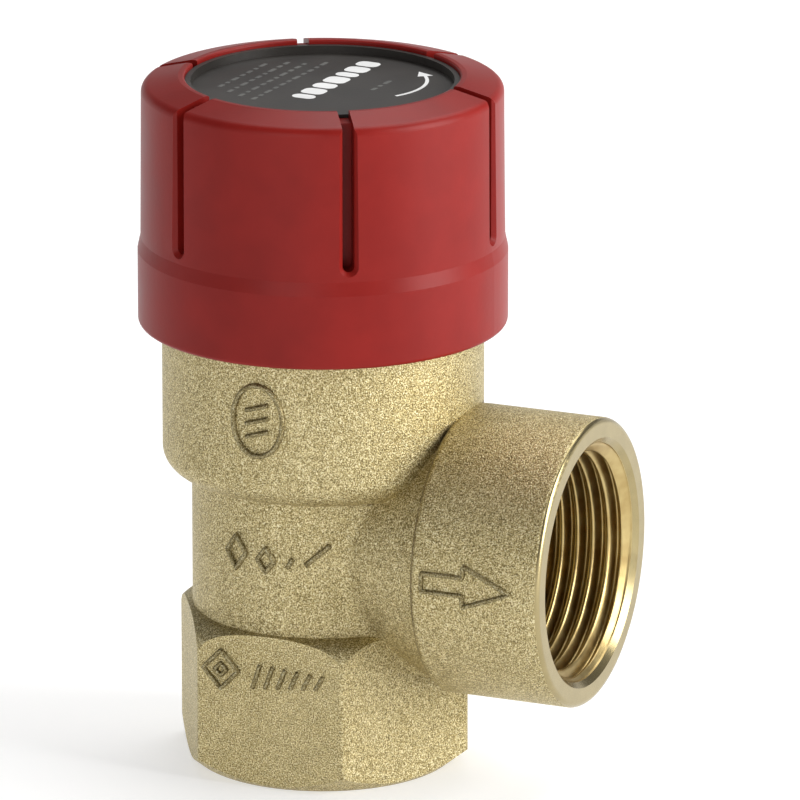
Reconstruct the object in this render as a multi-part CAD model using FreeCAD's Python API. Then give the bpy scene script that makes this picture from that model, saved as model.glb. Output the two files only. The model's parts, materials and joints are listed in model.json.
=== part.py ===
import FreeCAD, Part
import math
import os

# Diaphragm pressure relief valve with a twist-to-test cap, in millimetres.
# The origin is the centre of the inlet face. +Z runs up the valve axis and +X runs out of the outlet.

V = FreeCAD.Vector
UP = V(0, 0, 1)
OUTWARD = V(1, 0, 0)
ORIGIN = V(0, 0, 0)

# --- clearances ---
thread_gap = 0.05            # radial gap in a screwed joint
running_gap = 0.08           # radial gap round the sliding stem
plate_gap = 0.3
rubber_gap = 0.3
edge_break = 0.3

# --- pipe threads and water passages ---
thread_r = 13.22             # major radius of the G 3/4 pipe thread, which is the plain bore's wall
inlet_thread_depth = 14.5
outlet_thread_depth = 14.0
outlet_mouth_chamfer = 0.6
seat_bore_r = 7.5
seat_land = 0.9              # width of the ring that the gasket closes on
nozzle_root_extra = 0.8      # how much thicker the nozzle is at its foot
nozzle_height = 5.0
nozzle_entry_flare = 3.0
outlet_passage_r = 9.3
chamber_floor = 4.5          # metal between the inlet thread and the chamber
passage_floor = 1.85         # metal between the inlet thread and the outlet passage
ledge_thickness = 3.05       # metal between the outlet passage and the diaphragm

# --- stem and washer stack ---
stem_r = 3.0
stem_collar_step = 3.0
stem_collar_height = 2.0
stem_end_stand = 0.6         # how far the stem stands out of its nut
stem_travel = 2.2
stem_top_gap = 0.7
stem_screw_gap = 1.9         # metal between the two screwed holes of the disc
bush_wall = 1.5
thrust_washer_step = 3.0
thrust_washer_thickness = 1.0
lock_washer_step = 1.8
lock_washer_thickness = 0.8
stem_nut_wall = 2.0
stem_nut_height = 3.0

# --- valve disc and its gasket ---
disc_hub_wall = 3.5
disc_rim_wall = 0.75
disc_web = 2.4
disc_rim_overlap = 1.8       # depth of the gasket held inside the disc's rim
disc_flow_gap = 1.6          # radial room between the disc and the chamber wall
gasket_overlap = 1.45        # how far the gasket reaches past the seat's ring
gasket_thickness = 2.4
gasket_washer_r = 5.6
gasket_washer_thickness = 1.2
gasket_screw_r = 2.0
gasket_screw_head_r = 3.6
gasket_screw_head_height = 2.4
gasket_screw_grip = 3.0
gasket_screw_slot_width = 0.9

# --- spring and its plates ---
spring_wire_r = 1.1
spring_turns = 4.2
spring_spigot_inset = 0.6    # land between the stem's collar and the plate's spigot
spring_spigot_wall = 1.0
spring_spigot_height = 1.8
spring_bore_gap = 1.0
spring_plate_thickness = 1.6
spring_plate_gap = 0.5
adjusting_nut_height = 5.0
adjusting_slot_width = 2.6
adjusting_slot_depth = 1.8

# --- diaphragm and what clamps it ---
ledge_width = 3.7
diaphragm_thickness = 1.5
diaphragm_fold_inset = 2.4   # from the chamber wall to the middle of the rolled fold
diaphragm_fold_r = 1.0
diaphragm_plate_thickness = 1.5
diaphragm_plate_gap = 0.2
slip_ring_height = 1.5
slip_ring_relief = 0.2

# --- bonnet ---
bonnet_tube_wall = 1.8
bonnet_shoulder = 0.8
bonnet_shoulder_drop = 2.0   # the spring bore's shoulder lies this far below the collar's top
bonnet_sleeve_relief = 0.4
bonnet_flange_lap = 1.5
bonnet_flange_height = 2.5
bonnet_flange_cut = 1.9      # depth of each spanner flat
bonnet_tube_length = 9.5

# --- outside of the brass body ---
hex_wall = 1.78              # metal between the inlet thread and a flat
hex_above_thread = 3.2
hex_corner_round = 0.7
hex_top_round = 3.4
inlet_face_wall = 1.28
inlet_chamfer_height = 2.3
neck_wall = 2.3
collar_wall = 1.8
collar_foot_drop = 5.0       # from the diaphragm's ledge down to the collar's foot
collar_foot_round = 2.8
collar_depth = 14.0          # from the diaphragm's ledge up to the collar's top
boss_wall = 2.78
boss_back_wall = 1.2
boss_offset = 2.3            # from the neck to the back of the outlet boss
boss_back_round = 0.9
boss_mouth_round = 0.7
branch_step = 1.3            # how much smaller the branch is than the boss
branch_taper = 4.5           # how much smaller the branch is at the valve axis
branch_blend = 2.0

# --- lifting ramps between bonnet and cap ---
ramp_count = 3
lift_per_radian = 1.36
knob_turn_deg = 84.0
foot_angle_deg = 14.0
ramp_gap = 0.10
ramp_tool_height = 6.0
ramp_tool_margin = 0.4
foot_root_clearance = 0.4

# --- red cap ---
skirt_lap = 2.15             # how far the cap hangs over the collar
skirt_height = 8.25
skirt_gap = 0.9
knob_skirt_wall = 1.7
knob_step_height = 1.5
knob_step = 0.33
knob_taper = 0.17
knob_side_wall = 1.9
knob_web_thickness = 1.8
knob_lip_rise = 1.0          # dome of the rim from the outside up to the lip
knob_rim_round = 1.0
knob_lip_width = 0.7
knob_lip_round = 0.25
knob_skirt_edge_round = 0.5
recess_wall = 4.75
recess_depth = 2.6
hub_wall = 2.0
hub_pocket_gap = 0.4
hub_floor_thickness = 1.8
hub_floor_clearance = 0.8
groove_count = 6
groove_first_deg = 1.5
groove_width = 1.3
groove_mouth_width = 1.9
groove_flare_depth = 0.35
groove_depth = 2.6
groove_end_clearance = 1.0
lip_notch_depth = 0.9        # where a groove runs on across the rim to the recess
groove_pad_width = 4.0
groove_pad_depth = 1.3
rib_width = 1.2
rib_height = 5.0

# --- black insert ---
insert_gap = 0.05
insert_thickness = 1.2
insert_wall = 0.6
insert_wall_drop = 0.5       # how far the insert's rim lies below the cap's lip

# --- radii that follow from the sizes above ---
seat_land_r = seat_bore_r + seat_land
gasket_r = seat_land_r + gasket_overlap
disc_rim_r = gasket_r + disc_rim_wall
disc_hub_r = stem_r + disc_hub_wall
bush_r = stem_r + running_gap + bush_wall
stem_collar_r = stem_r + stem_collar_step
thrust_washer_r = stem_r + thrust_washer_step
lock_washer_r = stem_r + lock_washer_step
stem_nut_flats = 2 * (stem_r + stem_nut_wall)
spigot_bore_r = stem_collar_r + plate_gap + spring_spigot_inset
spigot_r = spigot_bore_r + spring_spigot_wall
spring_mean_r = spigot_r + plate_gap + spring_wire_r
bonnet_bore_r = spring_mean_r + spring_wire_r + spring_bore_gap
bonnet_tube_r = bonnet_bore_r + bonnet_tube_wall
spring_plate_r = bonnet_bore_r - spring_plate_gap
chamber_r = max(disc_rim_r + disc_flow_gap, bonnet_bore_r + bonnet_shoulder)
slip_ring_bore_r = chamber_r + slip_ring_relief
bonnet_sleeve_bore_r = chamber_r + bonnet_sleeve_relief
diaphragm_roll_r = chamber_r - diaphragm_fold_inset
diaphragm_plate_r = diaphragm_roll_r - diaphragm_fold_r - diaphragm_plate_gap
collar_bore_r = chamber_r + ledge_width
collar_r = collar_bore_r + collar_wall
bonnet_flange_r = collar_bore_r + bonnet_flange_lap
bonnet_flange_flats = 2 * (bonnet_flange_r - bonnet_flange_cut)
neck_r = chamber_r + neck_wall
hex_flats = 2 * (thread_r + hex_wall)
hex_corner_r = hex_flats / math.sqrt(3)
inlet_face_r = thread_r + inlet_face_wall
outlet_boss_r = thread_r + boss_wall
branch_r = outlet_boss_r - branch_step
knob_skirt_r = collar_r + skirt_gap + knob_skirt_wall
knob_side_foot_r = knob_skirt_r - knob_step
knob_rim_r = knob_side_foot_r - knob_taper
knob_side_bore_r = knob_rim_r - knob_side_wall
recess_r = knob_rim_r - recess_wall
knob_lip_r = recess_r + knob_lip_width
groove_bottom_r = knob_rim_r - groove_depth
insert_r = recess_r - insert_gap
hub_pocket_r = thrust_washer_r + hub_pocket_gap
hub_r = hub_pocket_r + hub_wall
ramp_inner_r = bonnet_bore_r
ramp_outer_r = bonnet_tube_r

# --- levels and reaches that follow from the sizes above ---
FULL_TURN = 360.0
SAME_PLACE = 1e-4            # two places closer than this are one place
OVERSHOOT = 1.0              # how far a cut runs past a face that it opens
chamber_floor_z = inlet_thread_depth + chamber_floor
seat_z = chamber_floor_z + nozzle_height
outlet_z = inlet_thread_depth + passage_floor + outlet_passage_r
ledge_z = outlet_z + outlet_passage_r + ledge_thickness
hex_height = inlet_thread_depth + hex_above_thread
collar_foot_z = ledge_z - collar_foot_drop
collar_top_z = ledge_z + collar_depth
outlet_boss_length = outlet_thread_depth + boss_back_wall
boss_back_x = neck_r + boss_offset
outlet_reach = boss_back_x + outlet_boss_length
diaphragm_top_z = ledge_z + diaphragm_thickness
slip_ring_top_z = diaphragm_top_z + slip_ring_height
diaphragm_plate_top_z = diaphragm_top_z + diaphragm_plate_thickness
spring_foot_z = diaphragm_plate_top_z + spring_plate_thickness
bonnet_flange_top_z = collar_top_z + bonnet_flange_height
bonnet_bore_start_z = collar_top_z - bonnet_shoulder_drop
bonnet_top_z = bonnet_flange_top_z + bonnet_tube_length
adjusting_nut_foot_z = bonnet_top_z - adjusting_nut_height
spring_head_z = adjusting_nut_foot_z - spring_plate_thickness
gasket_top_z = seat_z + gasket_thickness
gasket_screw_top_z = gasket_top_z + gasket_screw_grip
disc_web_top_z = gasket_top_z + disc_web
stem_foot_z = gasket_screw_top_z + stem_screw_gap
ramp_angle_deg = knob_turn_deg + foot_angle_deg
ramp_pitch = lift_per_radian * 2 * math.pi
ramp_rise = lift_per_radian * math.radians(ramp_angle_deg)
foot_root_z = bonnet_top_z + ramp_rise + foot_root_clearance
hub_foot_z = bonnet_top_z + hub_floor_clearance
hub_seat_z = hub_foot_z + hub_floor_thickness
thrust_washer_top_z = hub_seat_z + thrust_washer_thickness
lock_washer_top_z = thrust_washer_top_z + lock_washer_thickness
stem_nut_top_z = lock_washer_top_z + stem_nut_height
stem_end_z = stem_nut_top_z + stem_end_stand
recess_floor_z = stem_end_z + stem_travel + stem_top_gap
knob_lip_z = recess_floor_z + recess_depth
knob_rim_z = knob_lip_z - knob_lip_rise
knob_web_z = recess_floor_z - knob_web_thickness
knob_skirt_z = collar_top_z - skirt_lap
knob_step_z = knob_skirt_z + skirt_height
knob_step_top_z = knob_step_z + knob_step_height


def cylinder(radius, z_low, z_high):
    return Part.makeCylinder(radius, z_high - z_low, V(0, 0, z_low), UP)


def ring(inner_r, outer_r, z_low, z_high):
    return cylinder(outer_r, z_low, z_high).cut(cylinder(inner_r, z_low, z_high))


def cone(low_r, high_r, z_low, z_high):
    return Part.makeCone(low_r, high_r, z_high - z_low, V(0, 0, z_low), UP)


def outlet_cylinder(radius, x_low, x_high):
    return Part.makeCylinder(radius, x_high - x_low, V(x_low, 0, outlet_z), OUTWARD)


def hexagon(flats, z_low, z_high):
    """Hexagonal prism with corners on the X axis and two flats facing along Y."""
    corner_r = flats / math.sqrt(3)
    corners = []
    for index in range(7):
        angle = math.radians(60 * index)
        corners.append(V(corner_r * math.cos(angle), corner_r * math.sin(angle), z_low))
    face = Part.Face(Part.makePolygon(corners))
    return face.extrude(V(0, 0, z_high - z_low))


def turned(points):
    """Solid of revolution about Z from (radius, z) points of a closed outline."""
    corners = [V(radius, 0, z) for radius, z in points]
    face = Part.Face(Part.makePolygon(corners + corners[:1]))
    return face.revolve(ORIGIN, UP, FULL_TURN)


def radial_box(r_low, r_high, width, z_low, z_high, angle_deg):
    box = Part.makeBox(r_high - r_low, width, z_high - z_low, V(r_low, -width / 2, z_low))
    box.rotate(ORIGIN, UP, angle_deg)
    return box


def circle_edges(shape, radius, centre):
    """Circular edges of one radius about one centre."""
    found = []
    for edge in shape.Edges:
        curve = edge.Curve
        if not isinstance(curve, Part.Circle):
            continue
        if abs(curve.Radius - radius) < SAME_PLACE and curve.Center.distanceToPoint(centre) < SAME_PLACE:
            found.append(edge)
    return found


def rim(shape, radius, z):
    """Circular edges about the valve axis."""
    return circle_edges(shape, radius, V(0, 0, z))


def outlet_rim(shape, radius, x):
    """Circular edges about the outlet's axis."""
    return circle_edges(shape, radius, V(x, 0, outlet_z))


def screw_sweep(inner_r, outer_r, z_low, z_high, angle_deg):
    """Radial rectangle swept up the ramp's screw line from angle 0."""
    corners = [V(inner_r, 0, z_low), V(outer_r, 0, z_low), V(outer_r, 0, z_high), V(inner_r, 0, z_high)]
    profile = Part.makePolygon(corners + corners[:1])
    middle_r = (inner_r + outer_r) / 2
    path = Part.Wire(Part.makeHelix(ramp_pitch, ramp_pitch * angle_deg / FULL_TURN, middle_r).Edges)
    return path.makePipeShell([profile], True, True)


def hex_boss():
    boss = hexagon(hex_flats, 0, hex_height)
    upright = [edge for edge in boss.Edges if abs(edge.tangentAt(0).dot(UP)) > 1 - SAME_PLACE]
    boss = boss.makeFillet(hex_corner_round, upright)
    limit = cylinder(hex_corner_r, inlet_chamfer_height, hex_height)
    limit = limit.makeFillet(hex_top_round, rim(limit, hex_corner_r, hex_height))
    limit = limit.fuse(cone(inlet_face_r, hex_corner_r, 0, inlet_chamfer_height))
    return boss.common(limit)


def outlet_boss():
    boss = outlet_cylinder(outlet_boss_r, boss_back_x, outlet_reach)
    boss = boss.makeFillet(boss_back_round, outlet_rim(boss, outlet_boss_r, boss_back_x))
    return boss.makeFillet(boss_mouth_round, outlet_rim(boss, outlet_boss_r, outlet_reach))


def branch_radius(x):
    return branch_r - branch_taper * (1 - x / boss_back_x)


def neck_and_branch():
    """Upright neck and the tapered pipe to the outlet boss, with their seam blended."""
    neck = cylinder(neck_r, inlet_chamfer_height, collar_top_z)
    branch_end_x = boss_back_x + boss_back_wall
    branch = Part.makeCone(branch_radius(0), branch_radius(branch_end_x), branch_end_x,
                           V(0, 0, outlet_z), OUTWARD)
    joined = neck.fuse(branch).removeSplitter()
    seam = []
    for edge in joined.Edges:
        middle = edge.valueAt((edge.FirstParameter + edge.LastParameter) / 2)
        on_neck = abs(math.hypot(middle.x, middle.y) - neck_r) < SAME_PLACE
        on_branch = abs(math.hypot(middle.y, middle.z - outlet_z) - branch_radius(middle.x)) < SAME_PLACE
        if on_neck and on_branch:
            seam.append(edge)
    return joined.makeFillet(branch_blend, seam)


def body_outside():
    collar = cylinder(collar_r, collar_foot_z, collar_top_z)
    collar = collar.makeFillet(collar_foot_round, rim(collar, collar_r, collar_foot_z))
    outside = neck_and_branch().fuse([hex_boss(), collar, outlet_boss()])
    return outside.removeSplitter()


def body_passages():
    inlet = cylinder(thread_r, -OVERSHOOT, inlet_thread_depth)
    flare_r = seat_bore_r + nozzle_entry_flare
    flare = cone(flare_r, seat_bore_r, inlet_thread_depth, inlet_thread_depth + nozzle_entry_flare)
    seat_bore = cylinder(seat_bore_r, inlet_thread_depth, seat_z)
    chamber = cylinder(chamber_r, chamber_floor_z, ledge_z)
    passage = outlet_cylinder(outlet_passage_r, 0, outlet_reach)
    nozzle = cone(seat_land_r + nozzle_root_extra, seat_land_r, chamber_floor_z, seat_z)
    wet_space = chamber.fuse(passage).cut(nozzle)
    outlet = outlet_cylinder(thread_r, outlet_reach - outlet_thread_depth, outlet_reach + OVERSHOOT)
    outlet_mouth = Part.makeCone(thread_r, thread_r + outlet_mouth_chamfer, outlet_mouth_chamfer,
                                 V(outlet_reach - outlet_mouth_chamfer, 0, outlet_z), OUTWARD)
    collar_bore = cylinder(collar_bore_r, ledge_z, collar_top_z + OVERSHOOT)
    return wet_space.fuse([inlet, flare, seat_bore, outlet, outlet_mouth, collar_bore])


def valve_body():
    return body_outside().cut(body_passages())


def diaphragm():
    """Flat rubber disc with one rolled fold, cut by a hole for the stem."""
    outer_r = collar_bore_r - rubber_gap
    hole_r = stem_r + running_gap
    under_fold_r = diaphragm_fold_r + diaphragm_thickness
    half_width = math.sqrt(under_fold_r ** 2 - diaphragm_thickness ** 2)
    top = diaphragm_top_z
    low = ledge_z

    def point(radius, z):
        return V(radius, 0, z)

    def line(start, end):
        return Part.LineSegment(start, end).toShape()

    top_in = point(diaphragm_roll_r - diaphragm_fold_r, top)
    top_out = point(diaphragm_roll_r + diaphragm_fold_r, top)
    low_in = point(diaphragm_roll_r - half_width, low)
    low_out = point(diaphragm_roll_r + half_width, low)
    fold_top = Part.Arc(top_in, point(diaphragm_roll_r, top - diaphragm_fold_r), top_out).toShape()
    fold_low = Part.Arc(low_out, point(diaphragm_roll_r, top - under_fold_r), low_in).toShape()
    edges = [
        line(point(hole_r, top), top_in),
        fold_top,
        line(top_out, point(outer_r, top)),
        line(point(outer_r, top), point(outer_r, low)),
        line(point(outer_r, low), low_out),
        fold_low,
        line(low_in, point(hole_r, low)),
        line(point(hole_r, low), point(hole_r, top)),
    ]
    return Part.Face(Part.Wire(edges)).revolve(ORIGIN, UP, FULL_TURN)


def slip_ring():
    return ring(slip_ring_bore_r, collar_bore_r - rubber_gap, diaphragm_top_z, slip_ring_top_z)


def ramp():
    """One lifting ramp, which starts flush with the bonnet's top at angle 0."""
    inner_r = ramp_inner_r - ramp_tool_margin
    outer_r = ramp_outer_r + ramp_tool_margin
    swept = screw_sweep(inner_r, outer_r, bonnet_top_z - ramp_tool_height, bonnet_top_z, ramp_angle_deg)
    band = ring(ramp_inner_r, ramp_outer_r, bonnet_top_z, bonnet_top_z + ramp_tool_height)
    return swept.common(band)


def bonnet():
    sleeve_r = collar_bore_r - thread_gap
    flange = cylinder(bonnet_flange_r, collar_top_z, bonnet_flange_top_z)
    span = 2 * bonnet_flange_r
    flats = Part.makeBox(span, bonnet_flange_flats, bonnet_flange_height,
                         V(-span / 2, -bonnet_flange_flats / 2, collar_top_z))
    shape = flange.common(flats)
    shape = shape.fuse(cylinder(sleeve_r, slip_ring_top_z, bonnet_flange_top_z))
    shape = shape.fuse(cylinder(bonnet_tube_r, bonnet_flange_top_z, bonnet_top_z))
    shape = shape.cut(cylinder(bonnet_sleeve_bore_r, slip_ring_top_z, bonnet_bore_start_z))
    shape = shape.cut(cylinder(bonnet_bore_r, bonnet_bore_start_z, bonnet_top_z))
    shape = shape.removeSplitter()
    for index in range(ramp_count):
        one_ramp = ramp()
        one_ramp.rotate(ORIGIN, UP, FULL_TURN * index / ramp_count)
        shape = shape.fuse(one_ramp)
    return shape


def adjusting_nut():
    nut = ring(bush_r, bonnet_bore_r - thread_gap, adjusting_nut_foot_z, bonnet_top_z)
    slot_z = bonnet_top_z - adjusting_slot_depth
    for angle_deg in (0, 90):
        slot = radial_box(-bonnet_bore_r, bonnet_bore_r, adjusting_slot_width,
                          slot_z, bonnet_top_z, angle_deg)
        nut = nut.cut(slot)
    return nut


def stem_bush():
    return ring(stem_r + running_gap, bush_r - thread_gap, spring_head_z, bonnet_top_z - adjusting_slot_depth)


def upper_spring_plate():
    plate = ring(bush_r, spring_plate_r, spring_head_z, adjusting_nut_foot_z)
    spigot = ring(spigot_bore_r, spigot_r, spring_head_z - spring_spigot_height, spring_head_z)
    return plate.fuse(spigot).removeSplitter()


def spring():
    """Compression spring with both ends ground flat."""
    pitch = (spring_head_z - spring_foot_z) / spring_turns
    helix = Part.makeHelix(pitch, spring_head_z - spring_foot_z, spring_mean_r)
    path = Part.Wire(helix.Edges)
    section = Part.makeCircle(spring_wire_r, V(spring_mean_r, 0, 0), V(0, 1, 0))
    coil = path.makePipeShell([Part.Wire([section])], True, True)
    coil.translate(V(0, 0, spring_foot_z))
    return coil.common(cylinder(bonnet_bore_r, spring_foot_z, spring_head_z))


def stem():
    shaft = cylinder(stem_r, stem_foot_z, stem_end_z)
    shaft = shaft.makeChamfer(edge_break, rim(shaft, stem_r, stem_end_z))
    collar_z = diaphragm_plate_top_z
    return shaft.fuse(cylinder(stem_collar_r, collar_z, collar_z + stem_collar_height)).removeSplitter()


def valve_disc():
    disc = cylinder(disc_rim_r, gasket_top_z - disc_rim_overlap, disc_web_top_z)
    disc = disc.makeChamfer(edge_break, rim(disc, disc_rim_r, disc_web_top_z))
    shape = disc.fuse(cylinder(disc_hub_r, disc_web_top_z, ledge_z))
    shape = shape.cut(cylinder(gasket_r, seat_z, gasket_top_z))
    screw_hole_top_z = gasket_screw_top_z + edge_break
    shape = shape.cut(cylinder(gasket_screw_r + thread_gap, gasket_top_z, screw_hole_top_z))
    return shape.cut(cylinder(stem_r + thread_gap, stem_foot_z - edge_break, ledge_z))


def seat_gasket():
    return ring(gasket_screw_r + thread_gap, gasket_r - thread_gap, seat_z, gasket_top_z)


def gasket_washer():
    return ring(gasket_screw_r + thread_gap, gasket_washer_r, seat_z - gasket_washer_thickness, seat_z)


def gasket_screw():
    head_top_z = seat_z - gasket_washer_thickness
    head_foot_z = head_top_z - gasket_screw_head_height
    head = cylinder(gasket_screw_head_r, head_foot_z, head_top_z)
    head = head.makeFillet(edge_break, rim(head, gasket_screw_head_r, head_foot_z))
    slot_top_z = head_foot_z + gasket_screw_head_height / 2
    slot = radial_box(-gasket_screw_head_r, gasket_screw_head_r, gasket_screw_slot_width,
                      head_foot_z, slot_top_z, 0)
    shank = cylinder(gasket_screw_r, head_top_z, gasket_screw_top_z)
    return head.cut(slot).fuse(shank)


def diaphragm_plate():
    plate = ring(stem_r + running_gap, diaphragm_plate_r, diaphragm_top_z, diaphragm_plate_top_z)
    return plate.makeFillet(edge_break, rim(plate, diaphragm_plate_r, diaphragm_top_z))


def lower_spring_plate():
    plate = ring(stem_collar_r + plate_gap, spring_plate_r, diaphragm_plate_top_z, spring_foot_z)
    spigot = ring(spigot_bore_r, spigot_r, spring_foot_z, spring_foot_z + spring_spigot_height)
    return plate.fuse(spigot).removeSplitter()


def thrust_washer():
    return ring(stem_r + running_gap, thrust_washer_r, hub_seat_z, thrust_washer_top_z)


def lock_washer():
    return ring(stem_r + thread_gap, lock_washer_r, thrust_washer_top_z, lock_washer_top_z)


def stem_nut():
    nut = hexagon(stem_nut_flats, lock_washer_top_z, stem_nut_top_z)
    corner_r = stem_nut_flats / math.sqrt(3)
    limit = cylinder(corner_r, lock_washer_top_z, stem_nut_top_z)
    limit = limit.makeChamfer(edge_break, rim(limit, corner_r, stem_nut_top_z))
    bore = cylinder(stem_r + thread_gap, lock_washer_top_z, stem_nut_top_z)
    return nut.common(limit).cut(bore)


def knob_outside():
    shape = turned([
        (0, knob_skirt_z),
        (knob_skirt_r, knob_skirt_z),
        (knob_skirt_r, knob_step_z),
        (knob_side_foot_r, knob_step_top_z),
        (knob_rim_r, knob_rim_z),
        (knob_lip_r, knob_lip_z),
        (0, knob_lip_z),
    ])
    shape = shape.makeFillet(knob_rim_round, rim(shape, knob_rim_r, knob_rim_z))
    shape = shape.makeFillet(knob_skirt_edge_round, rim(shape, knob_skirt_r, knob_skirt_z))
    shape = shape.cut(cylinder(recess_r, recess_floor_z, knob_lip_z))
    return shape.makeFillet(knob_lip_round, rim(shape, recess_r, knob_lip_z))


def knob_hollow():
    skirt_bore = cylinder(knob_skirt_r - knob_skirt_wall, knob_skirt_z, knob_step_z)
    side_bore = cylinder(knob_side_bore_r, knob_skirt_z, knob_web_z)
    return skirt_bore.fuse(side_bore)


def groove_cutter():
    """Flared slot along the cap's side, rounded at its lower end."""
    half = groove_width / 2
    mouth_half = groove_mouth_width / 2
    flare_r = knob_rim_r - groove_flare_depth
    slope = (mouth_half - half) / groove_flare_depth
    outside_r = knob_skirt_r
    outside_half = half + slope * (outside_r - flare_r)
    end_z = knob_step_top_z + groove_end_clearance + half
    plan = [V(groove_bottom_r, -half, end_z), V(flare_r, -half, end_z), V(outside_r, -outside_half, end_z)]
    mirrored = [V(corner.x, -corner.y, corner.z) for corner in reversed(plan)]
    slot_face = Part.Face(Part.makePolygon(plan + mirrored + plan[:1]))
    slot = slot_face.extrude(V(0, 0, knob_lip_z - end_z))
    on_axis = [V(outside_r, 0, end_z), V(groove_bottom_r, 0, end_z)]
    half_face = Part.Face(Part.makePolygon(plan + on_axis + plan[:1]))
    rounded_end = half_face.revolve(V(0, 0, end_z), OUTWARD, FULL_TURN)
    return slot.fuse(rounded_end)


def knob_foot():
    """One lifting foot, whose underside follows the ramp with a small gap."""
    inner_r = ramp_inner_r - ramp_tool_margin
    outer_r = ramp_outer_r + ramp_tool_margin
    low_z = bonnet_top_z + ramp_gap
    swept = screw_sweep(inner_r, outer_r, low_z, low_z + ramp_tool_height, foot_angle_deg)
    return swept.common(ring(ramp_inner_r, ramp_outer_r, bonnet_top_z, foot_root_z))


def knob():
    shape = knob_outside().cut(knob_hollow())
    shape = shape.fuse(cylinder(hub_r, hub_foot_z, knob_web_z))
    shape = shape.fuse(ring(ramp_inner_r, ramp_outer_r, foot_root_z, knob_web_z))
    side_inner_r = knob_side_bore_r + edge_break
    for index in range(groove_count):
        groove_deg = groove_first_deg + FULL_TURN * index / groove_count
        rib_deg = groove_deg + FULL_TURN / groove_count / 2
        pad_r = groove_bottom_r - groove_pad_depth
        pad = radial_box(pad_r, side_inner_r, groove_pad_width, knob_step_top_z, knob_web_z, groove_deg)
        rib_foot_z = knob_web_z - rib_height
        rib = radial_box(hub_r - edge_break, side_inner_r, rib_width, rib_foot_z, knob_web_z, rib_deg)
        shape = shape.fuse([pad, rib])
    shape = shape.cut(cylinder(hub_pocket_r, hub_seat_z, recess_floor_z))
    shape = shape.cut(cylinder(stem_r + plate_gap, hub_foot_z, hub_seat_z))
    for index in range(groove_count):
        groove_deg = groove_first_deg + FULL_TURN * index / groove_count
        cutter = groove_cutter()
        cutter.rotate(ORIGIN, UP, groove_deg)
        notch_z = knob_lip_z - lip_notch_depth
        notch_top_z = knob_lip_z + OVERSHOOT
        notch = radial_box(recess_r - OVERSHOOT, knob_rim_r, groove_width, notch_z, notch_top_z, groove_deg)
        shape = shape.cut([cutter, notch])
    for index in range(ramp_count):
        foot = knob_foot()
        foot.rotate(ORIGIN, UP, FULL_TURN * index / ramp_count)
        shape = shape.fuse(foot)
    return shape.removeSplitter()


def knob_insert():
    """Shallow black cup that closes the top of the cap."""
    rim_z = knob_lip_z - insert_wall_drop
    cup = cylinder(insert_r, recess_floor_z, rim_z)
    floor_z = recess_floor_z + insert_thickness
    return cup.cut(cylinder(insert_r - insert_wall, floor_z, rim_z))


PIECES = {
    "valve_body": valve_body,
    "diaphragm": diaphragm,
    "slip_ring": slip_ring,
    "bonnet": bonnet,
    "adjusting_nut": adjusting_nut,
    "stem_bush": stem_bush,
    "upper_spring_plate": upper_spring_plate,
    "spring": spring,
    "stem": stem,
    "valve_disc": valve_disc,
    "seat_gasket": seat_gasket,
    "gasket_washer": gasket_washer,
    "gasket_screw": gasket_screw,
    "diaphragm_plate": diaphragm_plate,
    "lower_spring_plate": lower_spring_plate,
    "thrust_washer": thrust_washer,
    "lock_washer": lock_washer,
    "stem_nut": stem_nut,
    "knob": knob,
    "knob_insert": knob_insert,
}

os.makedirs("parts", exist_ok=True)
for node, make in PIECES.items():
    shape = make()
    shape.exportStep(os.path.join("parts", node + ".step"))
    print(node, "solids", len(shape.Solids), "valid", shape.isValid(), "volume", round(shape.Volume, 1))
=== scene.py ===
import json
import math

import bmesh
import bpy
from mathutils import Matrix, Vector


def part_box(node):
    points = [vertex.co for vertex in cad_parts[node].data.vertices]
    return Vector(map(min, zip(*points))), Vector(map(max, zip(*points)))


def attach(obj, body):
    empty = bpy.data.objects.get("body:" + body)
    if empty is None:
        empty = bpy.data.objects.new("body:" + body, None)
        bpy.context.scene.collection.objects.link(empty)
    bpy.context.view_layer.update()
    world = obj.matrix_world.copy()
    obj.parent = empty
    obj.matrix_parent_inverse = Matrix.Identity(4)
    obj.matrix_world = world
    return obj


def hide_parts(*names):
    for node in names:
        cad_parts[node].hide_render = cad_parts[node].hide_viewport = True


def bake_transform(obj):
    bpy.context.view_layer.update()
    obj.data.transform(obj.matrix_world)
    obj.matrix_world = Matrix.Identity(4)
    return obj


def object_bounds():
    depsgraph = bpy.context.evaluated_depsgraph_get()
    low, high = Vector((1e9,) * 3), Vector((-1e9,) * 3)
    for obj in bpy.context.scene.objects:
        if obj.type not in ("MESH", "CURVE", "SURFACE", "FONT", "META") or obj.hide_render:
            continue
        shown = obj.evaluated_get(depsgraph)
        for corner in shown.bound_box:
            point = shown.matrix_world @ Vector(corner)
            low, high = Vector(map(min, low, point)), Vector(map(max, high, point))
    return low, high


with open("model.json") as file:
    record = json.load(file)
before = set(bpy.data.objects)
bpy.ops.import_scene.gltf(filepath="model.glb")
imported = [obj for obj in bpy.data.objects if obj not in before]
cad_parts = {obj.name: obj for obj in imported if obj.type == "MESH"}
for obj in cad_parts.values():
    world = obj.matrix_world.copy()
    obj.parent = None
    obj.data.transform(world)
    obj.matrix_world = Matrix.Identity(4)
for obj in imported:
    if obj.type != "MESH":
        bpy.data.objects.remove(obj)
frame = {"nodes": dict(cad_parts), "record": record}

CAD_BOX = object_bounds()
MM = 0.001
UP = Vector((0, 0, 1))
TAU = 2 * math.pi

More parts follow.
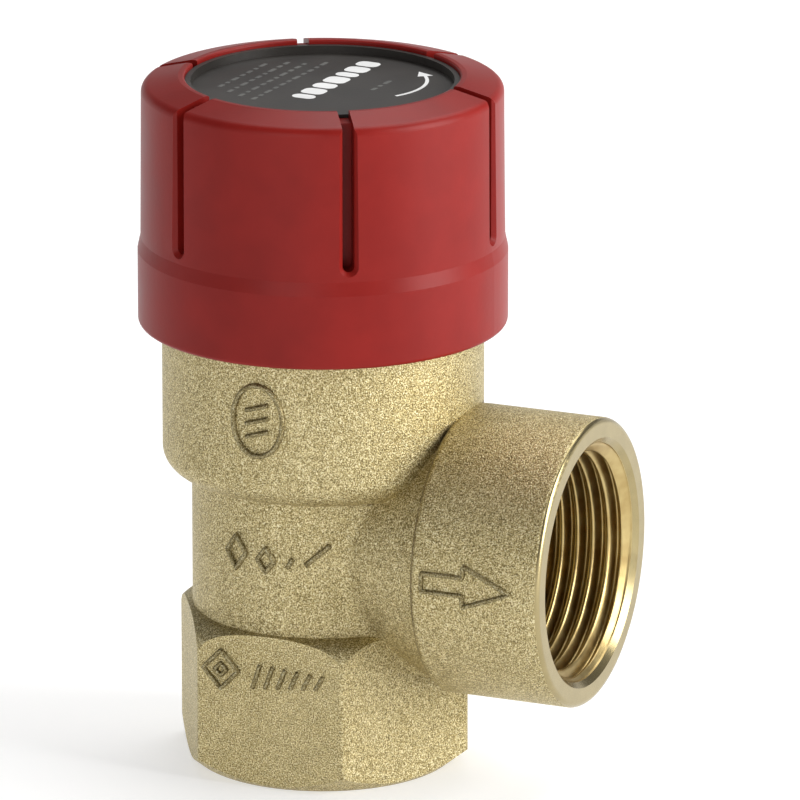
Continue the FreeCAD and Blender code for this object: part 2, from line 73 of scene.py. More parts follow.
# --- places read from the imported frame, in metres ---
MOUNTS = {mount["name"]: mount for mount in frame["record"]["mounts"]}
INLET = MOUNTS["inlet"]
OUTLET = MOUNTS["outlet"]
THREAD_R = INLET["dims"]["r_mm"] * MM
OUTLET_Z = OUTLET["pos_m"][2]
BODY_LOW, BODY_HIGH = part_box("valve_body")
OUTLET_BORE_X = OUTLET["pos_m"][0] - OUTLET["dims"]["length_mm"] * MM
INSERT_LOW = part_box("knob_insert")[0]

# --- surfaces of the brass body and the insert that the marks sit on, in metres ---
COLLAR_R = 17.7 * MM
NECK_R = 14.5 * MM
COLLAR_FOOT_Z = 33.0 * MM
BOSS_R = 16.0 * MM
BOSS_BACK_X = NECK_R + 2.3 * MM
HEX_APOTHEM = 15.0 * MM
INSERT_FLOOR_Z = INSERT_LOW.z + 1.2 * MM

# --- raised casting marks, in metres ---
MARK_WIDTH = 0.55 * MM
THIN_MARK_WIDTH = 0.5 * MM
MARK_HEIGHT = 0.42 * MM

# --- spring, wound as in the CAD ---
SPRING_LOW, SPRING_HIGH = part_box("spring")
SPRING_WIRE_R = 1.1 * MM
SPRING_TURNS = 4.2

# --- pipe thread: 14 turns per inch ---
PITCH = 1.814 * MM
THREAD_DEPTH = 1.162 * MM

# --- studio ---
FLOOR_HALF = 2.2
WALL_HEIGHT = 0.5
FLOOR_GLOW = 0.50
WORLD_LIGHT = 0.20
WHITE = (1.0, 1.0, 1.0, 1.0)

# --- camera at the photograph's angle ---
VIEW_AZIMUTH_DEG = 22.9
VIEW_ELEVATION_DEG = 16.71
VIEW_DISTANCE = 1.092
VIEW_LENS_MM = 446.8
SENSOR_WIDTH_MM = 36.0
VIEW_CENTRE_RIGHT = 8.44 * MM
VIEW_CENTRE_UP = 40.5 * MM
CLIP_END = 40.0


def node_tree(name, metallic, roughness):
    """A new material with a Principled shader. Returns the material, its nodes, links and shader."""
    material = bpy.data.materials.new(name)
    material.use_nodes = True
    nodes = material.node_tree.nodes
    shader = nodes["Principled BSDF"]
    shader.inputs["Metallic"].default_value = metallic
    shader.inputs["Roughness"].default_value = roughness
    return material, nodes, material.node_tree.links, shader


def object_coords(nodes):
    """The object's own coordinates, in metres."""
    return nodes.new("ShaderNodeTexCoord").outputs["Object"]


def noise(nodes, links, coords, scale, detail=2.0, rough=0.5):
    """Noise in 0 to 1, with its scale in cycles per metre."""
    texture = nodes.new("ShaderNodeTexNoise")
    texture.inputs["Scale"].default_value = scale
    texture.inputs["Detail"].default_value = detail
    texture.inputs["Roughness"].default_value = rough
    links.new(coords, texture.inputs["Vector"])
    return texture.outputs["Fac"]


def ramp(nodes, links, value, stops):
    """Colour ramp from (position, colour) stops."""
    element = nodes.new("ShaderNodeValToRGB")
    bands = element.color_ramp.elements
    while len(bands) < len(stops):
        bands.new(0.5)
    for band, (position, colour) in zip(bands, stops):
        band.position = position
        band.color = (*colour, 1.0)
    links.new(value, element.inputs["Fac"])
    return element.outputs["Color"]


def math_node(nodes, links, operation, first, second=0.0, clamp=False):
    """Output of one Math node. Each value is a number or a socket."""
    element = nodes.new("ShaderNodeMath")
    element.operation = operation
    element.use_clamp = clamp
    for index, value in enumerate((first, second)):
        if isinstance(value, (int, float)):
            element.inputs[index].default_value = value
        else:
            links.new(value, element.inputs[index])
    return element.outputs["Value"]


def square_sum(nodes, links, first, second):
    """first squared plus second squared."""
    squares = [math_node(nodes, links, "MULTIPLY", value, value) for value in (first, second)]
    return math_node(nodes, links, "ADD", *squares)


def split_coords(nodes, links, coords):
    """The x, y and z of the coordinates."""
    split = nodes.new("ShaderNodeSeparateXYZ")
    links.new(coords, split.inputs["Vector"])
    return split.outputs


def mix_colour(nodes, links, factor, first, second, blend="MIX"):
    """Colour from first, at factor 0, to second, at factor 1."""
    element = nodes.new("ShaderNodeMix")
    element.data_type = "RGBA"
    element.blend_type = blend
    # A Mix node has a set of sockets for each data type. Inputs 6 and 7 and output 2 hold the colours.
    sockets = (element.inputs["Factor"], element.inputs[6], element.inputs[7])
    for socket, value in zip(sockets, (factor, first, second)):
        if isinstance(value, (int, float)):
            socket.default_value = value
        elif isinstance(value, tuple):
            socket.default_value = (*value, 1.0)
        else:
            links.new(value, socket)
    return element.outputs[2]


def mix_value(nodes, links, factor, first, second):
    """Number from first, at factor 0, to second, at factor 1."""
    element = nodes.new("ShaderNodeMix")
    element.data_type = "FLOAT"
    # Inputs 0, 2 and 3 are the factor and the two numbers, and input 1 is the factor of a vector mix.
    sockets = (element.inputs[0], element.inputs[2], element.inputs[3])
    for socket, value in zip(sockets, (factor, first, second)):
        if isinstance(value, (int, float)):
            socket.default_value = value
        else:
            links.new(value, socket)
    return element.outputs[0]


def bump(nodes, links, height, distance, strength):
    """Normal from a height, where a height of 1 stands for the distance in metres."""
    element = nodes.new("ShaderNodeBump")
    element.inputs["Distance"].default_value = distance
    element.inputs["Strength"].default_value = strength
    links.new(height, element.inputs["Height"])
    return element.outputs["Normal"]


def machined_mask(nodes, links, coords):
    """1 on the turned faces and bores of the brass body, 0 on its forged skin."""
    x, y, z = split_coords(nodes, links, coords)

    def math_of(operation, first, second):
        return math_node(nodes, links, operation, first, second)

    margin = 0.4 * MM
    bore_r2 = (THREAD_R + 2 * margin) ** 2
    outlet_r2 = square_sum(nodes, links, y, math_of("SUBTRACT", z, OUTLET_Z))
    near_outlet_axis = math_of("LESS_THAN", outlet_r2, bore_r2)
    in_outlet = math_of("MULTIPLY", near_outlet_axis, math_of("GREATER_THAN", x, OUTLET_BORE_X - margin))
    in_body = math_of("LESS_THAN", square_sum(nodes, links, x, y), bore_r2)
    mouth = math_of("GREATER_THAN", x, BODY_HIGH.x - margin)
    base = math_of("LESS_THAN", z, 0.5 * margin)
    total = in_outlet
    for part in (in_body, mouth, base):
        total = math_of("MAXIMUM", total, part)
    return total


def painted_crease_shade_mask(nodes, links, coords):
    """Up to 1 where shade is painted: a painted shade line at the foot of the collar and round the back of
    the outlet boss.
    """
    x, y, z = split_coords(nodes, links, coords)
    off_neck, below_boss, off_boss = 0.8 * MM, 1.6 * MM, 0.2 * MM
    foot_half_width, back_half_width, back_offset = 0.35 * MM, 0.5 * MM, 0.1 * MM

    def math_of(operation, first, second=0.0, clamp=False):
        return math_node(nodes, links, operation, first, second, clamp)

    def band(value, middle, half_width):
        """1 at the middle, falling to 0 at half_width to each side."""
        offset = math_of("ABSOLUTE", math_of("SUBTRACT", value, middle))
        return math_of("SUBTRACT", 1.0, math_of("DIVIDE", offset, half_width), clamp=True)

    from_valve_axis = math_of("SQRT", square_sum(nodes, links, x, y))
    outlet_r2 = square_sum(nodes, links, y, math_of("SUBTRACT", z, OUTLET_Z))
    from_outlet_axis = math_of("SQRT", outlet_r2)
    on_neck = math_of("LESS_THAN", from_valve_axis, NECK_R + off_neck)
    above_branch = math_of("GREATER_THAN", from_outlet_axis, BOSS_R - below_boss)
    within_boss = math_of("LESS_THAN", from_outlet_axis, BOSS_R + off_boss)
    on_boss = math_of("MULTIPLY", above_branch, within_boss)
    collar_foot = math_of("MULTIPLY", band(z, COLLAR_FOOT_Z, foot_half_width), on_neck)
    boss_back = math_of("MULTIPLY", band(x, BOSS_BACK_X + back_offset, back_half_width), on_boss)
    # Blotchy noise that varies the strength of the painted shade.
    shade_blotches = noise(nodes, links, coords, scale=700)
    shade_patchiness = ramp(nodes, links, shade_blotches, [(0.3, (0.45,) * 3), (0.6, (0.9,) * 3)])
    return math_of("MULTIPLY", math_of("MAXIMUM", collar_foot, boss_back), shade_patchiness)


def forged_brass(name="forged_brass", shade=1.0):
    """Blasted forging: a sparkling grain of bright and dark facets, with turned faces left smooth."""
    material, nodes, links, shader = node_tree(name, metallic=1.0, roughness=0.42)
    coords = object_coords(nodes)
    grain = noise(nodes, links, coords, scale=6400, rough=0.7)
    coarse = noise(nodes, links, coords, scale=1700, rough=0.6)
    cloud = noise(nodes, links, coords, scale=160, detail=3.0)
    facets = nodes.new("ShaderNodeTexVoronoi")
    facets.inputs["Scale"].default_value = 5600
    links.new(coords, facets.inputs["Vector"])
    grain_share, fleck_share, facet_share = 0.72, 0.4, 0.5
    forged_bump, bump_strength, tool_line_share = 0.09 * MM, 0.9, 0.05
    turned_roughness = 0.24

    # shade scales every forged colour; below 1 it paints shade, as on the raised marks.
    def tint(red, green, blue):
        return (red * shade, green * shade, blue * shade)

    grain_colour = ramp(nodes, links, grain, [
        (0.38, tint(0.06, 0.043, 0.016)),
        (0.46, tint(0.33, 0.26, 0.112)),
        (0.54, tint(0.68, 0.565, 0.285)),
        (0.63, tint(1.0, 0.95, 0.68)),
    ])
    cloud_colour = ramp(nodes, links, cloud, [
        (0.35, tint(0.47, 0.375, 0.165)),
        (0.65, tint(0.59, 0.485, 0.245)),
    ])
    fleck_colour = ramp(nodes, links, coarse, [(0.40, (0.62, 0.60, 0.55)), (0.58, (1.0, 1.0, 1.0))])
    forged = mix_colour(nodes, links, grain_share, cloud_colour, grain_colour)
    forged = mix_colour(nodes, links, fleck_share, forged, fleck_colour, blend="MULTIPLY")
    # Painted shade: a dark brown laid into the creases at the collar's foot and behind the outlet boss.
    crease_shade_colour = tint(0.10, 0.065, 0.025)
    forged = mix_colour(nodes, links, painted_crease_shade_mask(nodes, links, coords), forged, crease_shade_colour)
    turned_cloud = noise(nodes, links, coords, scale=500)
    turned = mix_colour(nodes, links, turned_cloud, (0.33, 0.27, 0.135), (0.42, 0.345, 0.18))
    mask = machined_mask(nodes, links, coords)
    links.new(mix_colour(nodes, links, mask, forged, turned), shader.inputs["Base Color"])
    forged_roughness = mix_value(nodes, links, grain, 0.30, 0.66)
    links.new(mix_value(nodes, links, mask, forged_roughness, turned_roughness), shader.inputs["Roughness"])
    facet_height = math_node(nodes, links, "MULTIPLY", facets.outputs["Distance"], facet_share)
    height = math_node(nodes, links, "ADD", grain, facet_height)
    height = math_node(nodes, links, "ADD", height, coarse)
    tool_lines = noise(nodes, links, coords, scale=900, detail=1.0)
    turned_height = math_node(nodes, links, "MULTIPLY", tool_lines, tool_line_share)
    surface = mix_value(nodes, links, mask, height, turned_height)
    links.new(bump(nodes, links, surface, forged_bump, bump_strength), shader.inputs["Normal"])
    return material


def turned_brass():
    """Smooth cut brass with fine tool lines."""
    material, nodes, links, shader = node_tree("turned_brass", metallic=1.0, roughness=0.2)
    coords = object_coords(nodes)
    cloud = noise(nodes, links, coords, scale=600)
    colour = ramp(nodes, links, cloud, [(0.3, (0.42, 0.30, 0.12)), (0.7, (0.54, 0.42, 0.19))])
    links.new(colour, shader.inputs["Base Color"])
    links.new(mix_value(nodes, links, cloud, 0.26, 0.38), shader.inputs["Roughness"])
    fine = noise(nodes, links, coords, scale=5200, detail=1.0)
    links.new(bump(nodes, links, fine, distance=0.01 * MM, strength=0.6), shader.inputs["Normal"])
    return material


def steel(name, low, high, roughness, grain_scale):
    """Metal whose colour varies from low to high."""
    material, nodes, links, shader = node_tree(name, metallic=1.0, roughness=roughness)
    cloud = noise(nodes, links, object_coords(nodes), grain_scale, detail=3.0)
    links.new(ramp(nodes, links, cloud, [(0.3, low), (0.7, high)]), shader.inputs["Base Color"])
    varied = mix_value(nodes, links, cloud, roughness * 0.8, roughness * 1.3)
    links.new(varied, shader.inputs["Roughness"])
    links.new(bump(nodes, links, cloud, distance=0.02 * MM, strength=0.5), shader.inputs["Normal"])
    return material


def plastic(name, low, high, roughness, grain, gloss=0.35):
    """Moulded plastic with a fine eroded grain. grain is (cycles per metre, height in metres)."""
    material, nodes, links, shader = node_tree(name, metallic=0.0, roughness=roughness)
    coords = object_coords(nodes)
    cloud = noise(nodes, links, coords, scale=180, detail=3.0)
    links.new(ramp(nodes, links, cloud, [(0.35, low), (0.65, high)]), shader.inputs["Base Color"])
    varied = mix_value(nodes, links, cloud, roughness * 0.88, roughness * 1.15)
    links.new(varied, shader.inputs["Roughness"])
    shader.inputs["Specular IOR Level"].default_value = gloss
    grain_scale, grain_height = grain
    fine = noise(nodes, links, coords, grain_scale)
    links.new(bump(nodes, links, fine, grain_height, strength=0.6), shader.inputs["Normal"])
    return material


def build_materials():
    """Every material by name. Those of the record's slots have the slot's name."""
    return {
        "forged_brass": forged_brass(),
        # A darker copy of the forged brass, which paints shade on the raised marks.
        "cast_mark_painted_shade": forged_brass("cast_mark_painted_shade", shade=0.62),
        "turned_brass": turned_brass(),
        "zinc_steel": steel(
            "zinc_steel", (0.45, 0.45, 0.44), (0.66, 0.66, 0.63), roughness=0.3, grain_scale=1500),
        "spring_steel": steel(
            "spring_steel", (0.20, 0.20, 0.21), (0.34, 0.34, 0.35), roughness=0.36, grain_scale=900),
        "seal_rubber": plastic(
            "seal_rubber", (0.012, 0.012, 0.012), (0.022, 0.022, 0.022),
            roughness=0.7, grain=(2400, 0.03 * MM)),
        "white_plastic": plastic(
            "white_plastic", (0.70, 0.69, 0.64), (0.78, 0.77, 0.72),
            roughness=0.45, grain=(2000, 0.01 * MM)),
        "red_plastic": plastic(
            "red_plastic", (0.205, 0.0085, 0.006), (0.235, 0.0105, 0.0075),
            roughness=0.38, grain=(2300, 0.012 * MM), gloss=0.18),
        "black_plastic": plastic(
            "black_plastic", (0.024, 0.021, 0.018), (0.034, 0.030, 0.026),
            roughness=0.42, grain=(2600, 0.015 * MM)),
        "white_print": plastic(
            "white_print", (0.80, 0.80, 0.79), (0.90, 0.90, 0.89),
            roughness=0.5, grain=(3000, 0.005 * MM)),
        "grey_print": plastic(
            "grey_print", (0.10, 0.10, 0.095), (0.13, 0.13, 0.12),
            roughness=0.5, grain=(3000, 0.005 * MM)),
    }


def mesh_object(name, vertices, faces, material, body, smooth=True):
    """A new piece that rides on a body, or on none yet where body is None."""
    mesh = bpy.data.meshes.new(name)
    mesh.from_pydata(vertices, [], faces)
    mesh.update()
    shell = bmesh.new()
    shell.from_mesh(mesh)
    bmesh.ops.recalc_face_normals(shell, faces=shell.faces)
    shell.to_mesh(mesh)
    shell.free()
    for polygon in mesh.polygons:
        polygon.use_smooth = smooth
    mesh.materials.append(material)
    piece = bpy.data.objects.new(name, mesh)
    bpy.context.scene.collection.objects.link(piece)
    if body:
        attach(piece, body)
    return piece


def finish_cad_nodes(materials):
    """Gives every CAD node the material of its slot."""
    slots = {entry["node"]: entry["material_slot"] for entry in frame["record"]["subparts"]}
    for node, piece in frame["nodes"].items():
        for index in range(len(piece.material_slots)):
            piece.material_slots[index].material = materials[slots[node]]


def thread_radius(angle, depth_in, length):
    """Bore radius of a right-hand pipe thread at one angle and depth behind the mouth."""
    root_share, flank_share = 0.14, 0.72
    straight_share, rounded_share = 0.55, 0.45
    mouth_margin, run_out_slope = 0.15 * MM, 0.8
    phase = (depth_in / PITCH + angle / TAU) % 1.0
    wave = abs(2 * phase - 1)
    flank = min(max((wave - root_share) / flank_share, 0.0), 1.0)
    rounded = flank * flank * (3 - 2 * flank)
    height = THREAD_DEPTH * (straight_share * flank + rounded_share * rounded)
    countersink = max(depth_in - mouth_margin, 0.0)
    run_out = max(length - depth_in, 0.0) * run_out_slope
    return THREAD_R - min(height, countersink, run_out)


def thread_liner(name, port, materials):
    """Closed sleeve in a port's bore, whose inner face carries the thread. It runs in from the mouth."""
    mouth = Vector(port["pos_m"])
    inward = -Vector(port["axis"])
    length = port["dims"]["length_mm"] * MM
    steps_around, rows_per_pitch = 240, 18
    proud_of_bore, sunk_into_bore = 0.01 * MM, 0.06 * MM
    rows = int(length / PITCH * rows_per_pitch)
    across = inward.orthogonal().normalized()
    over = inward.cross(across)
    vertices = []

    def add_ring(depth_in, radius_at):
        for step in range(steps_around):
            angle = TAU * step / steps_around
            outward = across * math.cos(angle) + over * math.sin(angle)
            vertices.append(mouth + inward * depth_in + outward * radius_at(angle))

    for row in range(rows + 1):
        depth_in = length * row / rows
        add_ring(depth_in, lambda angle: thread_radius(angle, depth_in, length) - proud_of_bore)
    for depth_in in (length, 0.0):
        add_ring(depth_in, lambda angle: THREAD_R + sunk_into_bore)
    faces = []
    rings = rows + 3
    for row in range(rings):
        below = row * steps_around
        above = ((row + 1) % rings) * steps_around
        for step in range(steps_around):
            beside = (step + 1) % steps_around
            faces.append((below + step, below + beside, above + beside, above + step))
    mesh_object(name, vertices, faces, materials["turned_brass"], "root")


def coil_half(name, low_share, high_share, materials):
    """Spring wire between two shares of the spring's height."""
    steps_around, rows_per_turn = 20, 48
    height = SPRING_HIGH.z - SPRING_LOW.z
    mean_r = SPRING_HIGH.x - SPRING_WIRE_R
    slope = math.atan2(height / SPRING_TURNS, TAU * mean_r)
    rows = round(SPRING_TURNS * rows_per_turn * (high_share - low_share))
    vertices = []
    for row in range(rows + 1):
        share = low_share + (high_share - low_share) * row / rows
        angle = TAU * SPRING_TURNS * share
        outward = Vector((math.cos(angle), math.sin(angle), 0))
        along = Vector((-math.sin(angle), math.cos(angle), 0))
        rise = UP * math.cos(slope) - along * math.sin(slope)
        centre = outward * mean_r + UP * (SPRING_LOW.z + height * share)
        for step in range(steps_around):
            swing = TAU * step / steps_around
            spot = centre + (outward * math.cos(swing) + rise * math.sin(swing)) * SPRING_WIRE_R
            spot.z = min(max(spot.z, SPRING_LOW.z), SPRING_HIGH.z)
            vertices.append(spot)
    last = rows * steps_around
    faces = [tuple(range(steps_around)), tuple(range(last + steps_around - 1, last - 1, -1))]
    for row in range(rows):
        here, there = row * steps_around, (row + 1) * steps_around
        for step in range(steps_around):
            beside = (step + 1) % steps_around
            faces.append((here + step, here + beside, there + beside, there + step))
    piece = mesh_object(name, vertices, faces, materials["spring_steel"], None)
    start_z = SPRING_LOW.z + height * high_share
    end_z = SPRING_LOW.z + height * low_share
    if high_share < 1:
        start_z -= SPRING_WIRE_R
    if low_share > 0:
        end_z += SPRING_WIRE_R
    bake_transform(piece)
    return piece


def spring_coil(materials):
    """The spring wire in an upper and a lower half, in place of the hidden CAD spring."""
    middle = 0.5
    upper = coil_half("spring_upper_half", middle, 1.0, materials)
    coil_half("spring_lower_half", 0.0, middle, materials)
    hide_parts("spring")


def on_upright_cylinder(radius, angle_deg, z):
    """Places (along, up, proud) on a cylinder about Z, measured from one angle and height."""
    def place(along, up, proud):
        angle = math.radians(angle_deg) + along / radius
        reach = radius + proud
        return Vector((reach * math.cos(angle), reach * math.sin(angle), z + up))
    return place


def on_outlet_boss(x, angle_deg):
    """Places (along, up, proud) on the outlet boss, with along running out of the mouth."""
    def place(along, up, proud):
        angle = math.radians(angle_deg) + up / BOSS_R
        reach = BOSS_R + proud
        return Vector((x + along, -reach * math.cos(angle), OUTLET_Z + reach * math.sin(angle)))
    return place


def on_front_flat(x, z):
    """Places (along, up, proud) on the hexagon's front flat."""
    def place(along, up, proud):
        return Vector((x + along, -HEX_APOTHEM - proud, z + up))
    return place


def on_insert(turn_deg):
    """Places (along, up, proud) on the insert's floor, turned about the valve's axis."""
    def place(along, up, proud):
        angle = math.radians(turn_deg)
        x = along * math.cos(angle) - up * math.sin(angle)
        y = along * math.sin(angle) + up * math.cos(angle)
        return Vector((x, y, INSERT_FLOOR_Z + proud))
    return place


def stroke(place, points, width, height, closed=False):
    """Vertices and faces of one raised rounded rib that follows points on a surface."""
    ribs = 7
    sunk = -0.15 * MM
    roundness = 0.6
    path = [Vector(point) for point in points]
    count = len(path)
    vertices = []
    faces = []
    for index, point in enumerate(path):
        before = path[index - 1] if index or closed else point
        after = path[(index + 1) % count] if index < count - 1 or closed else point
        side = (after - before).normalized().orthogonal()
        for rib in range(ribs):
            swing = math.pi * rib / (ribs - 1)
            offset = -math.cos(swing) * width / 2
            spot = point + side * offset
            proud = height * math.sin(swing) ** roundness if 0 < rib < ribs - 1 else 0.0
            vertices.append(place(spot.x, spot.y, proud))
        for rib in (ribs - 1, 0):
            offset = -math.cos(math.pi * rib / (ribs - 1)) * width / 2
            spot = point + side * offset
            vertices.append(place(spot.x, spot.y, sunk))
    section = ribs + 2
    for index in range(count if closed else count - 1):
        here = index * section
        there = ((index + 1) % count) * section
        for rib in range(section):
            beside = (rib + 1) % section
            faces.append((here + rib, here + beside, there + beside, there + rib))
    if not closed:
        faces.append(tuple(range(section)))
        last = (count - 1) * section
        faces.append(tuple(range(last + section - 1, last - 1, -1)))
    return vertices, faces


def line_points(start, end, steps=10):
    """Points on a straight line, both ends among them."""
    first, last = Vector(start), Vector(end)
    return [first.lerp(last, index / steps) for index in range(steps + 1)]


def loop_points(centre, radius_x, radius_y, steps=40):
    """Closed oval outline."""
    angles = [TAU * index / steps for index in range(steps)]
    return [(centre[0] + radius_x * math.cos(angle), centre[1] + radius_y * math.sin(angle))
            for angle in angles]


def diamond_points(centre, half_width, half_height, steps=6):
    """Closed diamond outline."""
    corners = [(half_width, 0.0), (0.0, half_height), (-half_width, 0.0), (0.0, -half_height)]
    points = []
    for index, (x, y) in enumerate(corners):
        next_x, next_y = corners[(index + 1) % len(corners)]
        start = (centre[0] + x, centre[1] + y)
        end = (centre[0] + next_x, centre[1] + next_y)
        points += line_points(start, end, steps)[:-1]
    return points


def marks(name, place, strokes, height, materials):
    """One piece from several strokes, each (points, width, closed)."""
    vertices = []
    faces = []
    for points, width, closed in strokes:
        more, shell = stroke(place, points, width, height, closed)
        start = len(vertices)
        vertices += more
        faces += [tuple(start + corner for corner in face) for face in shell]
    # The marks take the darker brass copy, which paints shade on them.
    mesh_object(name, vertices, faces, materials["cast_mark_painted_shade"], "root")


def collar_emblem(materials):
    """Plain oval with three slanted bars."""
    place = on_upright_cylinder(COLLAR_R, angle_deg=-90.5, z=43.0 * MM)
    strokes = [(loop_points((0, 0), radius_x=2.9 * MM, radius_y=4.0 * MM), MARK_WIDTH, True)]
    half_length_mm, slant_mm = 1.3, 0.4
    for level_mm in (-1.5, 0.0, 1.5):
        start = (-half_length_mm * MM, (level_mm - slant_mm) * MM)
        end = (half_length_mm * MM, (level_mm + slant_mm) * MM)
        strokes.append((line_points(start, end), THIN_MARK_WIDTH, False))
    marks("collar_emblem", place, strokes, 0.45 * MM, materials)


def neck_marks(materials):
    """Casting marks without meaning: two diamonds and two slanted bars."""
    place = on_upright_cylinder(NECK_R, angle_deg=-86.0, z=26.6 * MM)
    strokes = [
        (diamond_points((-5.4 * MM, 0), 1.3 * MM, 1.9 * MM), MARK_WIDTH, True),
        (diamond_points((-1.6 * MM, -0.4 * MM), 1.0 * MM, 1.4 * MM), MARK_WIDTH, True),
        (line_points((0.9 * MM, -1.0 * MM), (1.5 * MM, 0.0)), MARK_WIDTH, False),
        (line_points((2.9 * MM, -0.6 * MM), (5.6 * MM, 1.7 * MM)), 0.6 * MM, False),
    ]
    marks("neck_marks", place, strokes, MARK_HEIGHT, materials)


def hexagon_marks(materials):
    """A diamond within a diamond, and a row of slanted bars that shrink, on the front flat."""
    place = on_front_flat(x=-4.2 * MM, z=13.2 * MM)
    diamond_centre = (-1.6 * MM, 0)
    strokes = [
        (diamond_points(diamond_centre, 2.1 * MM, 2.2 * MM), THIN_MARK_WIDTH, True),
        (diamond_points(diamond_centre, 0.7 * MM, 0.7 * MM), THIN_MARK_WIDTH, True),
    ]
    bar_count, first_bar_mm, bar_pitch_mm = 6, 2.2, 1.5
    reach_mm, shrink_mm, slant, upper_share = 1.7, 0.15, 0.9 * MM, 0.6
    for index in range(bar_count):
        along = (first_bar_mm + bar_pitch_mm * index) * MM
        reach = (reach_mm - shrink_mm * index) * MM
        slanted = line_points((along, -reach), (along + slant, reach * upper_share))
        strokes.append((slanted, THIN_MARK_WIDTH, False))
    marks("hexagon_marks", place, strokes, MARK_HEIGHT, materials)


def flow_arrow(materials):
    """Outline of an arrow on the outlet boss that points out of the mouth."""
    place = on_outlet_boss(x=23.6 * MM, angle_deg=3.0)
    outline_mm = [(-0.4, 2.3), (5.2, -0.2), (-0.4, -2.3), (-0.4, -1.0),
                  (-5.2, -1.0), (-5.2, 1.0), (-0.4, 1.0)]
    points = []
    for index, corner in enumerate(outline_mm):
        following = outline_mm[(index + 1) % len(outline_mm)]
        edge = line_points([value * MM for value in corner], [value * MM for value in following], 6)
        points += edge[:-1]
    marks("flow_arrow", place, [(points, THIN_MARK_WIDTH, True)], 0.4 * MM, materials)


def printed(name, place, outline, materials, material):
    """Thin printed patch with a closed outline of (along, up) points."""
    film = 0.02 * MM
    count = len(outline)
    vertices = [place(x, y, film) for x, y in outline] + [place(x, y, -film) for x, y in outline]
    faces = [tuple(range(count)), tuple(range(2 * count - 1, count - 1, -1))]
    for index in range(count):
        beside = (index + 1) % count
        faces.append((index, beside, count + beside, count + index))
    mesh_object(name, vertices, faces, materials[material], "knob", smooth=False)


def bar(x, y, length, height, steps=8):
    """Outline of a rounded bar that starts at x and is centred on y."""
    points = []
    corner_share = 0.3
    radius = height * corner_share
    left, right = x + radius, x + length - radius
    low, high = y - height / 2 + radius, y + height / 2 - radius
    corners = [(right, high, 0), (left, high, 90), (left, low, 180), (right, low, 270)]
    for centre_x, centre_y, start_deg in corners:
        for step in range(steps + 1):
            angle = math.radians(start_deg + 90 * step / steps)
            points.append((centre_x + radius * math.cos(angle), centre_y + radius * math.sin(angle)))
    return points


def printed_row(name, place, up, start, end, lengths, gap, height, materials, material):
    """A row of blank printed bars that repeats a few lengths, from start to no further than end."""
    along = start
    index = 0
    while along + lengths[index % len(lengths)] <= end:
        length = lengths[index % len(lengths)]
        printed(f"{name}_{index}", place, bar(along, up, length, height), materials, material)
        along += length + gap
        index += 1


def insert_print(materials):
    """Blank blocks, faint dashes and a turn arrow on the black insert."""
    place = on_insert(turn_deg=86.0)
    block_height, block_gap = 2.7 * MM, 0.45 * MM
    dash_height, dash_gap = 0.5 * MM, 0.6 * MM
    block_lengths = [length * MM for length in (1.6, 2.3, 2.0, 2.6)]
    dash_lengths = [length * MM for length in (1.1, 0.7, 1.5, 0.9)]
    dash_rows, first_row_mm, row_pitch_mm = 4, 4.4, 1.9
    print_r = 12.4 * MM
    printed_row("print_block", place, 0.0, -5.2 * MM, 13.2 * MM,
                block_lengths, block_gap, block_height, materials, "white_print")
    for row in range(dash_rows):
        up = (first_row_mm + row_pitch_mm * row) * MM
        reach = math.sqrt(print_r ** 2 - up ** 2)
        printed_row(f"print_dash_{row}", place, up, -0.7 * reach, 0.9 * reach,
                    dash_lengths, dash_gap, dash_height, materials, "grey_print")
    printed_row("print_dash_right", place, -5.4 * MM, 1.2 * MM, 6.0 * MM,
                dash_lengths, dash_gap, dash_height, materials, "grey_print")
    turn_arrow(materials)


def turn_arrow(materials):
    """Thin arc with a head that points the way the cap turns."""
    centre_x, centre_y = 2.0 * MM, 3.9 * MM
    radius, width, head_half = 8.05 * MM, 0.4 * MM, 0.85 * MM
    start_deg, end_deg, tip_deg = -32.0, 36.0, 50.0
    place = on_insert(turn_deg=0.0)
    steps = 24

    def spot(reach, angle_deg):
        angle = math.radians(angle_deg)
        return (centre_x + reach * math.cos(angle), centre_y + reach * math.sin(angle))

    angles = [start_deg + (end_deg - start_deg) * step / steps for step in range(steps + 1)]
    outer = [spot(radius + width / 2, angle) for angle in angles]
    inner = [spot(radius - width / 2, angle) for angle in reversed(angles)]
    printed("turn_arrow_arc", place, outer + inner, materials, "white_print")
    head = [spot(radius + head_half, end_deg), spot(radius, tip_deg), spot(radius - head_half, end_deg)]
    printed("turn_arrow_head", place, head, materials, "white_print")


def area_light(name, place, target, size, power):
    """White soft box that faces the target. Sizes are in metres and power in watts."""
    light = bpy.data.lights.new(name, "AREA")
    light.shape = "RECTANGLE"
    light.size, light.size_y = size
    light.energy = power
    lamp = bpy.data.objects.new(name, light)
    lamp.location = place
    lamp.rotation_euler = (Vector(target) - Vector(place)).to_track_quat("-Z", "Y").to_euler()
    bpy.context.scene.collection.objects.link(lamp)


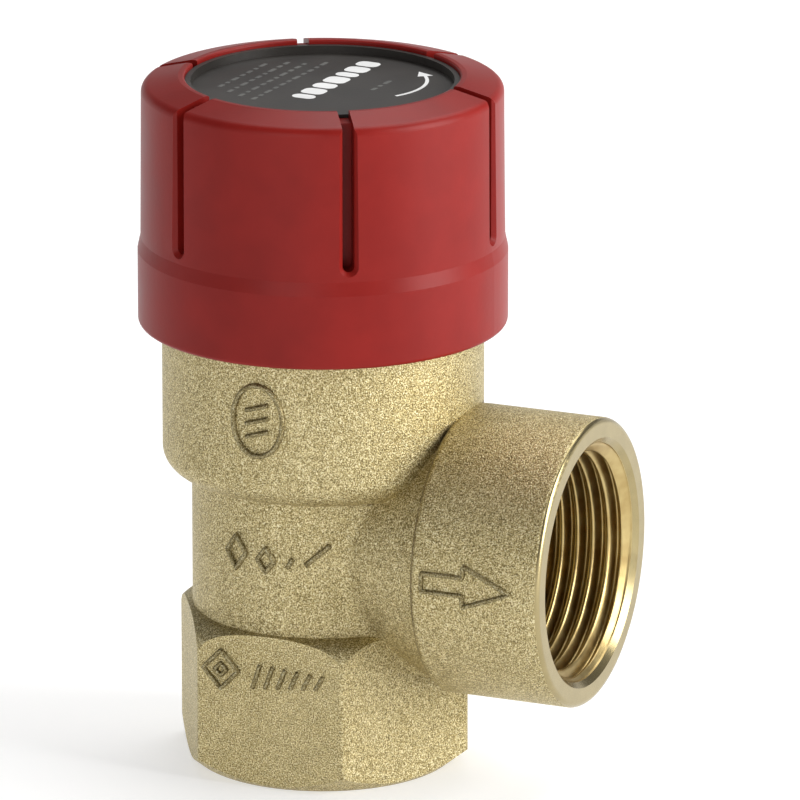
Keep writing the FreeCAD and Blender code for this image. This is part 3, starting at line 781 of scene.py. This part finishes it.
def studio():
    """Pale floor with far walls, and soft light."""
    corners = [(-FLOOR_HALF, -FLOOR_HALF), (FLOOR_HALF, -FLOOR_HALF),
               (FLOOR_HALF, FLOOR_HALF), (-FLOOR_HALF, FLOOR_HALF)]
    vertices = [(x, y, z) for z in (0.0, WALL_HEIGHT) for x, y in corners]
    walls = [(index, index + 4, (index + 1) % 4 + 4, (index + 1) % 4) for index in range(4)]
    mesh = bpy.data.meshes.new("floor")
    mesh.from_pydata(vertices, [], [(0, 1, 2, 3)] + walls)
    floor = bpy.data.objects.new("floor", mesh)
    floor.location.z = BODY_LOW.z
    material, nodes, links, shader = node_tree("floor", metallic=0.0, roughness=0.9)
    mottle = noise(nodes, links, object_coords(nodes), scale=6)
    pale = ramp(nodes, links, mottle, [(0.4, (0.62, 0.62, 0.62)), (0.6, (0.64, 0.64, 0.64))])
    links.new(pale, shader.inputs["Base Color"])
    shader.inputs["Emission Color"].default_value = WHITE
    shader.inputs["Emission Strength"].default_value = FLOOR_GLOW
    mesh.materials.append(material)
    bpy.context.scene.collection.objects.link(floor)
    world = bpy.data.worlds.new("studio")
    world.use_nodes = True
    background = world.node_tree.nodes["Background"]
    background.inputs["Color"].default_value = WHITE
    background.inputs["Strength"].default_value = WORLD_LIGHT
    bpy.context.scene.world = world
    middle = Vector((0, 0, CAD_BOX[1][2] / 2))
    area_light("key", (0.52, 0.04, 0.24), middle, size=(0.30, 0.44), power=3.5)
    area_light("top", (0.05, 0.35, 0.70), middle, size=(0.70, 0.60), power=3.8)
    area_light("front", (0.04, -0.62, 0.22), middle, size=(0.40, 0.40), power=0.80)


def camera():
    """Long lens, from the front and a little to the outlet's side, looking slightly down."""
    azimuth, elevation = math.radians(VIEW_AZIMUTH_DEG), math.radians(VIEW_ELEVATION_DEG)
    right = Vector((math.cos(azimuth), math.sin(azimuth), 0))
    level_back = Vector((math.sin(azimuth), -math.cos(azimuth), 0))
    back = level_back * math.cos(elevation) + UP * math.sin(elevation)
    target = right * VIEW_CENTRE_RIGHT + UP * VIEW_CENTRE_UP
    data = bpy.data.cameras.new("camera")
    data.lens = VIEW_LENS_MM
    data.sensor_width = SENSOR_WIDTH_MM
    data.clip_end = CLIP_END
    view = bpy.data.objects.new("camera", data)
    view.location = target + back * VIEW_DISTANCE
    view.rotation_euler = (-back).to_track_quat("-Z", "Y").to_euler()
    bpy.context.scene.collection.objects.link(view)
    bpy.context.scene.camera = view


bpy.context.scene.view_settings.view_transform = "Standard"
camera()
MATERIALS = build_materials()
finish_cad_nodes(MATERIALS)
thread_liner("outlet_thread", OUTLET, MATERIALS)
thread_liner("inlet_thread", INLET, MATERIALS)
spring_coil(MATERIALS)
collar_emblem(MATERIALS)
neck_marks(MATERIALS)
hexagon_marks(MATERIALS)
flow_arrow(MATERIALS)
insert_print(MATERIALS)
studio()
